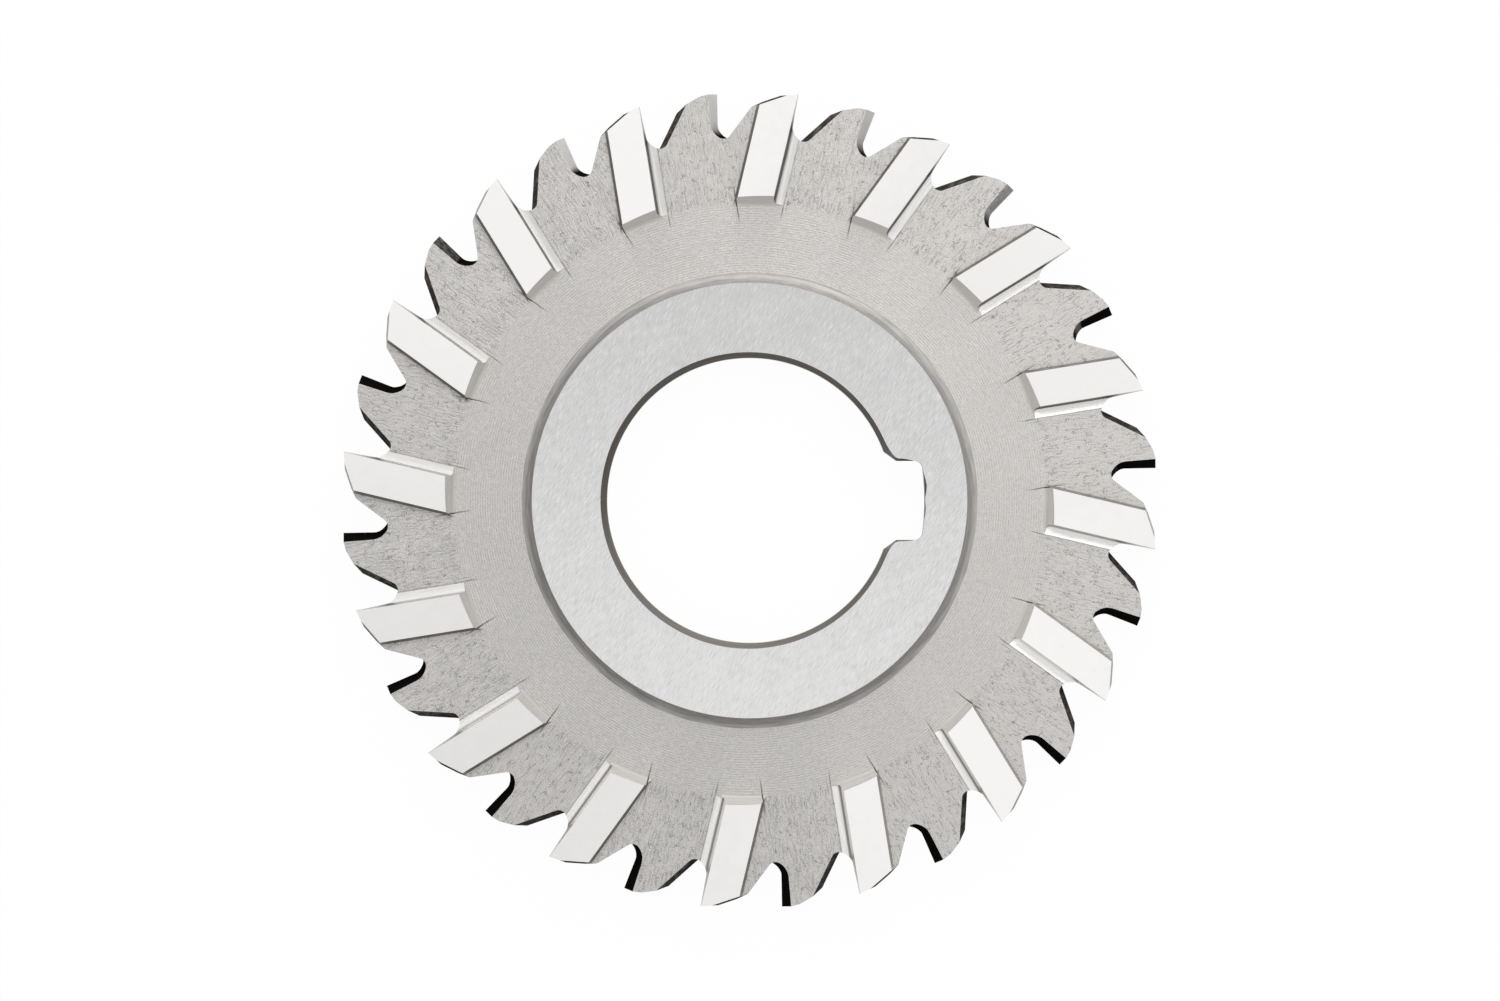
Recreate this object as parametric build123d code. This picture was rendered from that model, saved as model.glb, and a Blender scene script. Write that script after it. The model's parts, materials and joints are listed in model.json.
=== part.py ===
from build123d import *
from math import cos, radians, sin, tan
import os

# A staggered-tooth side-cutting slitting saw of high-speed steel, in millimetres.
# The bore's axis is Z. The saw lies on its back face at Z = 0 and its front face is at Z = cutting_width.
# The keyway points along +X.

# Body
outer_diameter = 63.0
cutting_width = 4.0
bore_diameter = 22.0
bore_chamfer = 0.45
hub_diameter = 33.6
hub_edge_break = 0.06
hub_foot_radius = 0.78
side_recess = 0.85  # depth of the turned ring and of the tooth pockets below the hub, on each face

# Keyway
keyway_width = 6.1
keyway_reach = 13.35  # from the bore's axis to the floor of the keyway
keyway_corner_radius = 0.6
keyway_mouth_bevel = 0.75
keyway_edge_break = 0.12

# Teeth: one row cuts on the front face, the other on the back face, half a pitch on
teeth_per_row = 16
first_tip_angle = 83.2  # polar angle of one front tooth's tip, in degrees from the keyway
back_row_lag = 0.2  # the back row trails the half pitch by this angle, in degrees
gullet_tilt = 13.5  # lean of a gullet from the bore's axis, in degrees, opposite in the two rows
root_diameter = 55.9
gullet_root_radius = 0.85
gullet_opening = 41.5  # angle between the tooth face and the back wall of the gullet before it
face_lead = 0.1  # the gullet's tooth face stands ahead of the side edge's corner by this much

# Relief behind the outer cutting edge, in three facets, each angle from the tangent at the tip
relief_tilt = 9.5  # lean of the facets from the bore's axis, less than the gullet's
primary_relief = 10.0
primary_width = 0.9
secondary_relief = 25.4
secondary_width = 2.25
heel_relief = 42.0
heel_run = 0.8  # how far back the heel's facet is cut, as a share of half a tooth's pitch

# Side cutting lands, raised from the recess floor
side_hook = 6.6  # lean of the side cutting edge from the radius through the tip
land_width = 2.69
land_relief = 3.5
land_back_draft = 17.0
land_inner_diameter = 47.06
land_end_slope = 53.0

# Side gullet, a shallow groove ahead of each side cutting edge
side_gullet_width = 0.85
side_gullet_dip = 0.12  # depth of its deepest line below the pocket
side_gullet_wall_draft = 11.6
side_gullet_start = 22.75  # distance of its inner end from the axis, along the side cutting edge

tip_radius = outer_diameter / 2
hub_radius = hub_diameter / 2
bore_radius = bore_diameter / 2
mid_width = cutting_width / 2
recess_floor = cutting_width - side_recess
tooth_pitch = 360 / teeth_per_row
half_pitch = tooth_pitch / 2
clear = 1.0  # how far a cutting shape runs past the body
rim_radius = tip_radius + clear / 2  # the blank is turned a little over size, and the relief brings it down


def blank():
    """Turned disc: a full-width hub on each face, a recessed web and a concave foot where they meet."""
    outline = Polyline(
        (0, mid_width),
        (rim_radius, mid_width),
        (rim_radius, recess_floor),
        (hub_radius, recess_floor),
        (hub_radius, cutting_width - hub_edge_break),
        (hub_radius - hub_edge_break, cutting_width),
        (0, cutting_width),
        close=True,
    )
    section = make_face(outline)
    foot = section.vertices().sort_by_distance((hub_radius, recess_floor))[0]
    half = revolve(Plane.XZ * fillet(foot, hub_foot_radius), Axis.Z)
    return half + mirror(half, Plane.XY.offset(mid_width))


def land_ring():
    """Ring that the front lands are cut from; its inner wall is a cone, so the lands' inner ends slope."""
    inner = land_inner_diameter / 2
    slope = tan(radians(land_end_slope))
    corner = inner - side_recess / slope
    outline = Polyline(
        (corner, recess_floor),
        (inner + clear / slope, cutting_width + clear),
        (rim_radius, cutting_width + clear),
        (rim_radius, mid_width),
        (corner - clear, mid_width),
        (corner - clear, recess_floor),
        close=True,
    )
    return revolve(Plane.XZ * make_face(outline), Axis.Z)


def along_side_edge(section, start):
    """Runs a section outward along the side cutting edge of the tooth whose tip points along +Y.

    The section's X is the distance ahead of the edge and its Y is the height above the back face.
    """
    hook = radians(side_hook)
    ahead = Vector(cos(hook), -sin(hook), 0)
    outward = Vector(sin(hook), cos(hook), 0)
    origin = ahead * (-tip_radius * sin(hook)) + outward * start
    return extrude(Plane(origin, ahead, -outward) * section, start - tip_radius - clear)


def land():
    """Side cutting land of one front tooth: relieved behind its edge, drafted at its back."""
    drop = tan(radians(land_relief))
    back_height = cutting_width - land_width * drop
    back_run = (back_height - mid_width) * tan(radians(land_back_draft))
    ahead = side_gullet_width / 2
    section = Polyline(
        (ahead, mid_width),
        (ahead, cutting_width + ahead * drop),
        (-land_width, back_height),
        (-land_width - back_run, mid_width),
        close=True,
    )
    return land_ring() & along_side_edge(make_face(section), land_inner_diameter / 2 - 2 * clear)


def side_gullet():
    """Groove ahead of a side cutting edge; its steep wall gives the edge its face."""
    depth = side_recess + side_gullet_dip
    lean = tan(radians(side_gullet_wall_draft))
    section = Polyline(
        (-clear * lean, cutting_width + clear),
        (depth * lean, cutting_width - depth),
        (side_gullet_width, recess_floor),
        (side_gullet_width, cutting_width + clear),
        close=True,
    )
    return along_side_edge(make_face(section), side_gullet_start)


def leaning(outline, tilt):
    """Runs a flat outline, drawn at the front face, through the saw, falling back as it goes down."""
    lean = radians(tilt)
    section = Pos(clear * tan(lean), 0, cutting_width + clear) * make_face(outline)
    return extrude(section, (cutting_width + 2 * clear) / cos(lean), dir=(-sin(lean), 0, -cos(lean)))


def gullet():
    """Tilted chip space ahead of the front tooth whose tip points along +Y, with a rounded root."""
    top = tip_radius + clear
    opening = radians(gullet_opening)
    centre = Vector(face_lead, root_diameter / 2) + Vector(1, 1) * gullet_root_radius
    face_foot = Vector(face_lead, centre.Y)
    wall_foot = centre + Vector(cos(opening), -sin(opening)) * gullet_root_radius
    wall_top = wall_foot + Vector(tan(opening), 1) * (top - wall_foot.Y)
    outline = RadiusArc(face_foot, wall_foot, -gullet_root_radius)
    outline += Polyline(wall_foot, wall_top, (face_lead, top), face_foot)
    return leaning(outline, gullet_tilt)


def relief():
    """Space above the same tooth: two relief facets behind the outer cutting edge, then the heel."""
    top = tip_radius + clear
    tip = Vector(face_lead, tip_radius)
    primary_end = tip - Vector(1, tan(radians(primary_relief))) * primary_width
    secondary_end = primary_end - Vector(1, tan(radians(secondary_relief))) * secondary_width
    heel_width = secondary_end.X + heel_run * radians(half_pitch) * tip_radius
    heel_end = secondary_end - Vector(1, tan(radians(heel_relief))) * heel_width
    ahead = Vector(tip.X + clear, tip.Y)
    crest = [ahead, tip, primary_end, secondary_end, heel_end]
    return leaning(Polyline(*crest, (heel_end.X, top), (ahead.X, top), ahead), relief_tilt)


def both_rows(shape):
    """Copies a front tooth's shape round the front row and, turned over, round the back row."""
    turned_over = mirror(shape, Plane.XY.offset(mid_width))
    copies = []
    for index in range(teeth_per_row):
        angle = first_tip_angle - 90 + index * tooth_pitch
        copies.append(Rot(0, 0, angle) * shape)
        copies.append(Rot(0, 0, angle + half_pitch + back_row_lag) * turned_over)
    return copies


def bore_and_keyway():
    """Opening for the arbor and its key, with bevelled keyway mouths and eased edges on both faces."""
    slot = Pos(keyway_reach / 2, 0) * Rectangle(keyway_reach, keyway_width)
    slot = fillet(slot.vertices().group_by(Axis.X)[-1], keyway_corner_radius)
    outline = Circle(bore_radius) + slot
    outline = chamfer(outline.vertices().group_by(Axis.X)[0], keyway_mouth_bevel)
    easing = extrude(outline, keyway_edge_break, taper=-45)
    flare = Cone(bore_radius, bore_radius + bore_chamfer, bore_chamfer)
    front = Pos(0, 0, cutting_width - keyway_edge_break) * easing
    front += Pos(0, 0, cutting_width - bore_chamfer / 2) * flare
    return [extrude(outline, cutting_width), front, mirror(front, Plane.XY.offset(mid_width))]


def slitting_saw():
    """Whole saw as one solid."""
    body = blank() + both_rows(land())
    body -= both_rows(side_gullet()) + both_rows(gullet()) + both_rows(relief())
    body -= bore_and_keyway()
    return body.solid()


os.makedirs("parts", exist_ok=True)
export_step(slitting_saw(), "parts/slitting_saw.step")
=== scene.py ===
# %% [markdown]
# # A staggered-tooth slitting saw
#
# The saw is one flat disc of high-speed steel. It was turned, then milled, then hardened and
# ground, and each of these left its own surface: straight grinding on the hub and on the side
# lands, fine turned rings in the recess, torn milling marks between the lands and dark scale in
# the gullets.
#
# One mesh stands for it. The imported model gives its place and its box. The same form is cut again
# here with finer steps, so that each face can carry the finish of the tool that cut it.

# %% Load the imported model
import json
from math import asin, atan2, cos, degrees, dist, hypot, pi, radians, sin, sqrt, tan

import bmesh
import bpy
from mathutils import Matrix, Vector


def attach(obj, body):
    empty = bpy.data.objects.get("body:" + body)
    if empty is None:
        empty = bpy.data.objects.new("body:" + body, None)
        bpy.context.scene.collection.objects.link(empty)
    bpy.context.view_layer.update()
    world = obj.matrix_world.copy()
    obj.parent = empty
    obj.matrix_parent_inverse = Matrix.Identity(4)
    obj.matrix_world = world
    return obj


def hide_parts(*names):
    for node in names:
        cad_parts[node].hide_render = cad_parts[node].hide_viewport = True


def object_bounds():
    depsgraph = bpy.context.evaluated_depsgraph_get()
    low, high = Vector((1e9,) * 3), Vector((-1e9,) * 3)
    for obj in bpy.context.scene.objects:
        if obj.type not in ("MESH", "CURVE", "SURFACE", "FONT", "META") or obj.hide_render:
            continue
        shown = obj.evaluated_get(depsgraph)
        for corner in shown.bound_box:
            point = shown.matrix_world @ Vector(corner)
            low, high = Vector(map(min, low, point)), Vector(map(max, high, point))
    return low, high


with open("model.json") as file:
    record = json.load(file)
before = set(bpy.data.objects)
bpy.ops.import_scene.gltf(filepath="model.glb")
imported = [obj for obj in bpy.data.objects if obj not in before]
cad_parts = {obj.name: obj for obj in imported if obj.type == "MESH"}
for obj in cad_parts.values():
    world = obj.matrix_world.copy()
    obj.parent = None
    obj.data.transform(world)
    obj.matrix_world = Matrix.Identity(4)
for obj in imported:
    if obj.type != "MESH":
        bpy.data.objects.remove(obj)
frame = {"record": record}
cad_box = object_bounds()
scene = bpy.context.scene
print("packed model, box in metres:", cad_box)

# %% [markdown]
# ## Sizes
#
# Lengths are in millimetres here and become metres when the mesh is finished, because the cuts
# are more exact on numbers near one than on thousandths. The bore and the width come from the
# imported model, and most other sizes are those of its source.

# %% Sizes of the saw
MM = 0.001
arbor_bore = next(m for m in frame["record"]["mounts"] if m["name"] == "arbor_bore")
bore_radius = arbor_bore["dims"]["r_mm"]
width = (cad_box[1][2] - cad_box[0][2]) / MM
mid_width = width / 2

tip_radius = 31.5
blank_radius = 32.0
hub_radius = 16.8
hub_edge_break = 0.03
hub_foot = 0.78
recess = 0.85
recess_floor = width - recess

teeth = 16
pitch = 2 * pi / teeth
first_tip = radians(83.2)
back_lag = radians(0.2)
hook = radians(6.6)
clear = 1.0
turn_steps = 480
print("bore radius", bore_radius, "mm, width", round(width, 3), "mm, teeth in a row", teeth)

# %% [markdown]
# ## Closed bodies from rings
#
# The blank and every cutter are a stack of rings: one outline, repeated from place to place and
# joined by quads. A turned body closes the stack on itself, and any other gets a cap at each end.
# Each strip of faces can be marked with the finish that it leaves on the steel.

# %% Arcs, rings and turned bodies
finishes = {}


def finish_called(name):
    """The material of that name, made when it is first asked for."""
    if name not in finishes:
        finishes[name] = bpy.data.materials.new(name)
    return finishes[name]


def arc(centre, radius, start, stop, steps):
    """Points of an arc, both ends included, with its angles in degrees."""
    turns = [radians(start + (stop - start) * step / steps) for step in range(steps + 1)]
    return [(centre[0] + radius * cos(turn), centre[1] + radius * sin(turn)) for turn in turns]


def closed_mesh(name, rings, strip_marks, ring_closes=False):
    """Joins rings of equal length. Each strip's number in strip_marks stays on its faces."""
    count = len(rings[0])
    faces = []
    marks = []
    for low in range(len(rings) if ring_closes else len(rings) - 1):
        high = (low + 1) % len(rings)
        for here in range(count):
            after = (here + 1) % count
            low_edge = (low * count + here, low * count + after)
            faces.append(low_edge + (high * count + after, high * count + here))
            marks.append(strip_marks[here])
    if not ring_closes:
        faces.append(tuple(range(count)))
        faces.append(tuple(range((len(rings) - 1) * count, len(rings) * count)))
        marks += [0, 0]
    mesh = bpy.data.meshes.new(name)
    mesh.from_pydata([point for ring in rings for point in ring], [], faces)
    mesh.attributes.new("mark", "INT", "FACE").data.foreach_set("value", marks)
    shape = bmesh.new()
    shape.from_mesh(mesh)
    bmesh.ops.recalc_face_normals(shape, faces=shape.faces)
    shape.to_mesh(mesh)
    shape.free()
    return mesh


def turned(name, profile, strip_marks):
    """Turns a closed profile of (radius, height) points about the bore's axis."""
    turns = [2 * pi * step / turn_steps for step in range(turn_steps)]
    rings = [[(r * cos(turn), r * sin(turn), z) for r, z in profile] for turn in turns]
    return closed_mesh(name, rings, strip_marks, ring_closes=True)


def shown(name, data):
    """Puts a mesh, a lamp or a camera in the scene as an object at the origin."""
    thing = bpy.data.objects.new(name, data)
    scene.collection.objects.link(thing)
    return thing


print("a turned body gets", turn_steps, "rings")

# %% [markdown]
# ## The blank
#
# A lathe makes the blank: a hub of full width, a thinner web around it and a small concave foot
# where they meet. The profile of one face is drawn from the hub outwards and mirrored for the
# other, and each stretch of it is marked, because the hub is ground later and the foot keeps its
# turned look.

# %% Turn the blank
HUB, FOOT, WEB = range(3)
blank_finishes = ["ground_hub", "turned_foot", "milled_web"]
foot_steps = 14
core_radius = bore_radius - 3 * clear

foot_arc = arc((hub_radius + hub_foot, recess_floor + hub_foot), hub_foot, 180, 270, foot_steps)
front_profile = [(core_radius, width), (hub_radius - hub_edge_break, width)]
front_profile += [(hub_radius, width - hub_edge_break)] + foot_arc
front_profile += [(blank_radius, recess_floor)]
front_marks = [HUB, HUB, FOOT] + [FOOT] * foot_steps + [WEB]
back_profile = [(r, width - z) for r, z in reversed(front_profile)]
blank_marks = front_marks + [WEB] + front_marks[::-1] + [HUB]

blank = turned("blank", front_profile + back_profile, blank_marks)
for name in blank_finishes:
    blank.materials.append(finish_called(name))
for face, mark in zip(blank.polygons, blank.attributes["mark"].data):
    face.material_index = mark.value
saw = shown("saw_body", blank)
print("blank turned with", len(blank.polygons), "faces")

# %% [markdown]
# ## Node trees as Python
#
# Node trees, for geometry here and for shaders further on, are written through two small classes.
# `Nodes.add` takes a node's type, its settings and what goes into its sockets. A `Field` wraps
# the socket that comes back and can be used in arithmetic, so a formula reads as a formula.

# %% Fields and nodes
class Field:
    """An output socket that arithmetic can be written with."""

    def __init__(self, nodes, socket):
        self.nodes = nodes
        self.socket = socket

    def __add__(self, other):
        return self.nodes.math("ADD", self, other)

    def __sub__(self, other):
        return self.nodes.math("SUBTRACT", self, other)

    def __rsub__(self, other):
        return self.nodes.math("SUBTRACT", other, self)

    def __mul__(self, other):
        return self.nodes.math("MULTIPLY", self, other)

    def __truediv__(self, other):
        return self.nodes.math("DIVIDE", self, other)

    def __rtruediv__(self, other):
        return self.nodes.math("DIVIDE", other, self)

    __radd__ = __add__
    __rmul__ = __mul__


class Nodes:
    """Writes one node tree, node by node."""

    def __init__(self, tree):
        self.tree = tree
        tree.nodes.clear()

    def add(self, kind, settings=None, values=None, output=0):
        node = self.tree.nodes.new(kind)
        for name, setting in (settings or {}).items():
            setattr(node, name, setting)
        for name, value in (values or {}).items():
            if isinstance(value, Field):
                self.tree.links.new(value.socket, node.inputs[name])
            else:
                node.inputs[name].default_value = value
        return Field(self, node.outputs[output]) if len(node.outputs) else None

    def math(self, operation, *values):
        return self.add("ShaderNodeMath", {"operation": operation}, dict(enumerate(values)))

    def join(self, x, y, z):
        return self.add("ShaderNodeCombineXYZ", values={0: x, 1: y, 2: z})


# %% [markdown]
# ## One tooth's cutter, copied round a row
#
# The rim has 32 teeth in two rows. Each row is one cutter repeated at the tooth pitch, and the
# back row's is mirrored in height and half a pitch on. That is a rule, so Geometry Nodes does it:
# points, instances turned by their index, then real faces and their finish. Faces marked 1 take a
# second finish, such as the tooth face inside a gullet.

# %% The tree that makes a row
row_tree = bpy.data.node_groups.new("tooth_row", "GeometryNodeTree")
row_inputs = {}
for name, kind in [
    ("Cutter", "Geometry"),
    ("Teeth", "Int"),
    ("First turn", "Float"),
    ("Turned over", "Bool"),
    ("Width", "Float"),
    ("Finish", "Material"),
    ("Marked finish", "Material"),
]:
    socket = row_tree.interface.new_socket(name, in_out="INPUT", socket_type="NodeSocket" + kind)
    row_inputs[name] = socket.identifier
row_tree.interface.new_socket("Row", in_out="OUTPUT", socket_type="NodeSocketGeometry")


def write_row_tree(nodes):
    """Turns the cutter over if asked, copies it round, makes it real and gives it finishes."""
    group = nodes.tree.nodes.new("NodeGroupInput")
    given = {name: Field(nodes, group.outputs[name]) for name in row_inputs}
    turned_over = given["Turned over"]
    shift = nodes.join(0.0, 0.0, given["Width"] * turned_over)
    mirror = nodes.join(1.0, 1.0, 1 - turned_over * 2)
    laid = {"Geometry": given["Cutter"], "Translation": shift, "Scale": mirror}
    cutter = nodes.add("GeometryNodeTransform", values=laid)
    cutter = nodes.add("GeometryNodeFlipFaces", values={"Mesh": cutter, "Selection": turned_over})
    index = nodes.add("GeometryNodeInputIndex")
    turn = given["First turn"] + index * (2 * pi / given["Teeth"])
    points = nodes.add("GeometryNodePoints", values={"Count": given["Teeth"]})
    placed = {"Points": points, "Instance": cutter, "Rotation": nodes.join(0.0, 0.0, turn)}
    row = nodes.add("GeometryNodeInstanceOnPoints", values=placed)
    row = nodes.add("GeometryNodeRealizeInstances", values={"Geometry": row})
    finished = {"Geometry": row, "Material": given["Finish"]}
    row = nodes.add("GeometryNodeSetMaterial", values=finished)
    mark = nodes.add("GeometryNodeInputNamedAttribute", {"data_type": "INT"}, {"Name": "mark"})
    equals = {"data_type": "INT", "operation": "EQUAL"}
    is_marked = nodes.add("FunctionNodeCompare", equals, {2: mark, 3: 1})
    finished = {"Geometry": row, "Selection": is_marked, "Material": given["Marked finish"]}
    row = nodes.add("GeometryNodeSetMaterial", values=finished)
    nodes.add("NodeGroupOutput", values={"Row": row})


write_row_tree(Nodes(row_tree))
print("tooth row tree has", len(row_tree.nodes), "nodes")

# %% [markdown]
# ## Cutting with a row
#
# A row is settled into a plain mesh before it cuts. The Manifold solver is fast and exact on
# closed bodies, and with transfer of materials each face that a cutter leaves has its finish.

# %% Make a row and cut with it
def settled(thing):
    """The object's mesh with its modifiers worked in, as a plain mesh."""
    graph = bpy.context.evaluated_depsgraph_get()
    return bpy.data.meshes.new_from_object(thing.evaluated_get(graph))


def tooth_row(cutter, back, finish, marked_finish=None):
    """A row of one tooth's cutter, drawn for the front tooth whose tip points along +Y."""
    holder = shown(cutter.name + "_row", cutter)
    modifier = holder.modifiers.new("row", "NODES")
    modifier.node_group = row_tree
    for name, value in {
        "Teeth": teeth,
        "First turn": first_tip - pi / 2 + (pitch / 2 + back_lag if back else 0),
        "Turned over": back,
        "Width": width,
        "Finish": finish_called(finish),
        "Marked finish": finish_called(marked_finish or finish),
    }.items():
        modifier[row_inputs[name]] = value
    row = shown(cutter.name, settled(holder))
    bpy.data.objects.remove(holder)
    return row


def combine(body, tool, operation):
    """Joins the tool to the body or cuts with it. The cut faces keep the tool's finish."""
    modifier = body.modifiers.new(operation, "BOOLEAN")
    modifier.operation = operation
    modifier.solver = "MANIFOLD"
    modifier.material_mode = "TRANSFER"
    modifier.object = tool
    mesh = settled(body)
    body.modifiers.clear()
    body.data = mesh
    bpy.data.objects.remove(tool)


print("a row has", teeth, "teeth,", round(degrees(pitch), 1), "degrees apart")

# %% [markdown]
# ## Side lands
#
# Each tooth carries a raised land that cuts the side of the slot. On the real saw the lands are
# left standing when the pockets between them are milled, and then ground, with a slight fall
# behind the edge. Here a band is run along the side edge and trimmed by a turned ring, whose coned
# inner wall ends in a small fillet, as a cutter with a rounded nose leaves it.

# %% Raise the lands
land_width = 2.69
land_relief = tan(radians(3.5))
land_back_draft = tan(radians(17.0))
land_inner_radius = 23.53
land_end_angle = 53.0
land_foot = 0.4
land_foot_steps = 8
side_gullet_width = 0.85


def along_side_edge(name, sections, strip_marks):
    """Runs sections out along the side edge, each at its own distance.

    A section's points are distances ahead of the edge and heights above the back face.
    """
    rings = []
    for outward, section in sections:
        ring = []
        for ahead, height in section:
            aside = ahead - tip_radius * sin(hook)
            across = aside * cos(hook) + outward * sin(hook)
            along = outward * cos(hook) - aside * sin(hook)
            ring.append((across, along, height))
        rings.append(ring)
    return closed_mesh(name, rings, strip_marks)


def land_band():
    """Band under one land: its top falls away behind the side edge, its back wall is drafted."""
    ahead = side_gullet_width / 2
    back_height = width - land_width * land_relief
    back_run = (back_height - mid_width) * land_back_draft
    top = [(ahead, width + ahead * land_relief), (-land_width, back_height)]
    section = [(ahead, mid_width - clear)] + top + [(-land_width - back_run, mid_width)]
    section += [(-land_width - back_run, mid_width - clear)]
    ends = (land_inner_radius - 2 * clear, tip_radius + 2 * clear)
    return along_side_edge("land_band", [(end, section) for end in ends], [0, 0, 1, 1, 0])


def land_ring():
    """Ring that trims the bands: a cone inside, with a fillet at its foot."""
    slope = radians(land_end_angle)
    rise = tan(slope)
    foot_radius = land_inner_radius - recess / rise - land_foot * tan(slope / 2)
    sink = 0.002
    centre = (foot_radius, recess_floor + land_foot - sink)
    foot = arc(centre, land_foot, 270, 270 + land_end_angle, land_foot_steps)
    profile = [(foot_radius - clear, mid_width), (foot_radius - clear, recess_floor - sink)]
    profile += foot + [(land_inner_radius + clear / rise, width + clear)]
    profile += [(blank_radius, width + clear), (blank_radius, mid_width)]
    return turned("land_ring", profile, [0] * len(profile))


for back in (False, True):
    lands = tooth_row(land_band(), back, "ground_land", "land_wall")
    ring = land_ring()
    if back:
        ring.transform(Matrix.Translation((0, 0, width)) @ Matrix.Scale(-1, 4, (0, 0, 1)))
        ring.flip_normals()
    ring.materials.append(finish_called("land_end"))
    combine(lands, shown("land_ring", ring), "INTERSECT")
    combine(saw, lands, "UNION")
print("lands raised, body has", len(saw.data.polygons), "faces")

# %% [markdown]
# ## Side gullets
#
# Ahead of each side edge a shallow groove gives the edge its face. Its wall is steep and dark,
# its floor is slightly hollow, and its inner end is square with one round corner. The same
# section is drawn at a few places near that end, squeezed aside along a quarter circle.

# %% Cut the side gullets
side_gullet_dip = 0.12
side_gullet_draft = tan(radians(11.6))
side_gullet_start = 22.75
side_gullet_nose = 0.22
hollow_steps = 8
nose_steps = 9


def side_gullet():
    """Groove ahead of one side edge, with a rounded inner corner beside the land."""
    depth = recess + side_gullet_dip
    foot = depth * side_gullet_draft
    floor_points = []
    for step in range(hollow_steps + 1):
        share = step / hollow_steps
        fall = side_gullet_dip * (1 - share ** 2)
        floor_points.append((foot + (side_gullet_width - foot) * share, recess_floor - fall))
    section = [(-clear * side_gullet_draft, width + clear)] + floor_points
    section += [(side_gullet_width, width + clear)]
    sections = []
    for step in range(nose_steps + 1):
        turn = pi / 2 * step / nose_steps
        squeeze = side_gullet_nose * (1 - sin(turn)) / side_gullet_width
        inner = side_gullet_start + side_gullet_nose * (1 - cos(turn))
        moved = []
        for ahead, height in section:
            moved.append((ahead + (side_gullet_width - ahead) * squeeze, height))
        sections.append((inner, moved))
    sections.append((tip_radius + 2 * clear, section))
    return along_side_edge("side_gullet", sections, [1] + [0] * (len(section) - 1))


for back in (False, True):
    combine(saw, tooth_row(side_gullet(), back, "side_gullet", "side_wall"), "DIFFERENCE")
print("side gullets cut, body has", len(saw.data.polygons), "faces")

# %% [markdown]
# ## Gullets and relief
#
# The gullets are milled at a tilt of 13.5 degrees to the bore's axis, one way for each row, so
# from above only one wall of each shows. Their root is rounder towards the tooth face. Behind the
# outer edge three wheels pass at steeper and steeper angles, and the last, for the heel, stops
# short of the next tooth. A flat outline that leans as it goes down gives both kinds of cutter.

# %% Cut the gullets and the relief behind each outer edge
gullet_tilt = tan(radians(13.5))
relief_tilt = tan(radians(9.5))
face_lead = 0.1
root_radius = 55.9 / 2
root_round = 0.85
face_round = 1.4
wall_round = 0.6
gullet_opening = 41.5
root_steps = 10
top = tip_radius + clear
primary_relief = 10.0
primary_width = 0.9
secondary_relief = 25.4
secondary_width = 2.25
heel_relief = 42.0
relief_overlap = 0.5
heel_share = 0.72
heel_end = -heel_share * (pitch / 2) * tip_radius


def leaning(name, outline, tilt, strip_marks):
    """Runs an outline, drawn at the front face, through the saw, falling back on the way."""
    heights = (-clear, width + clear)
    rings = [[(x + (z - width) * tilt, y, z) for x, y in outline] for z in heights]
    return closed_mesh(name, rings, strip_marks)


def gullet():
    """Chip space ahead of one tooth: the tooth face, a root of two radii and the back wall."""
    away = (root_round - wall_round) * tan(radians(90 - gullet_opening) / 2)
    near_wall = (face_lead + root_round + away, root_radius + wall_round)
    aside = face_lead + face_round - near_wall[0]
    above = sqrt((face_round - wall_round) ** 2 - aside ** 2)
    near_face = (near_wall[0] + aside, near_wall[1] + above)
    turn = 180 + degrees(atan2(near_face[1] - near_wall[1], aside))
    face_arc = arc(near_face, face_round, 180, turn, root_steps)
    wall_arc = arc(near_wall, wall_round, turn, 360 - gullet_opening, root_steps)[1:]
    foot = wall_arc[-1]
    wall_top = (foot[0] + (top - foot[1]) * tan(radians(gullet_opening)), top)
    outline = face_arc + wall_arc + [wall_top, (face_lead, top)]
    marks = [1] * root_steps + [0] * (root_steps + 2) + [1]
    return leaning("gullet", outline, gullet_tilt, marks)


def behind(corner, angle, run):
    """Where a facet that starts at a corner has come to after that run backwards."""
    return (corner[0] - run, corner[1] - run * tan(radians(angle)))


def relief_pass(name, corner, angle, tilt):
    """Space above one relief facet, from a little ahead of its corner back to the heel's end."""
    slope = tan(radians(angle))
    front = (corner[0] + relief_overlap, corner[1] + relief_overlap * slope)
    rear = (heel_end, corner[1] - (corner[0] - heel_end) * slope)
    outline = [front, rear, (heel_end, top), (front[0], top)]
    return leaning(name, outline, tilt, [0] * 4)


tip_corner = (face_lead, tip_radius)
secondary_corner = behind(tip_corner, primary_relief, primary_width)
heel_corner = behind(secondary_corner, secondary_relief, secondary_width)
for back in (False, True):
    combine(saw, tooth_row(gullet(), back, "gullet_scale", "tooth_face"), "DIFFERENCE")
    edge = relief_pass("primary_relief", tip_corner, primary_relief, relief_tilt)
    combine(saw, tooth_row(edge, back, "ground_relief"), "DIFFERENCE")
    crest = relief_pass("secondary_relief", secondary_corner, secondary_relief, relief_tilt)
    combine(saw, tooth_row(crest, back, "crest_scale"), "DIFFERENCE")
    heel = relief_pass("heel_relief", heel_corner, heel_relief, gullet_tilt)
    combine(saw, tooth_row(heel, back, "heel_scale"), "DIFFERENCE")
print("teeth cut, body has", len(saw.data.polygons), "faces")

# %% [markdown]
# ## Bore and keyway
#
# The bore is ground and chamfered by hand on a lathe, a little off centre, so the chamfer is
# widest across from the keyway. The keyway is broached: its mouths are bevelled, its floor is
# slightly bowed, and its edges were only touched with a file, so the eased strip comes and goes.
# Each point of the outline is therefore paired with a point of the eased edge on the face.

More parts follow.
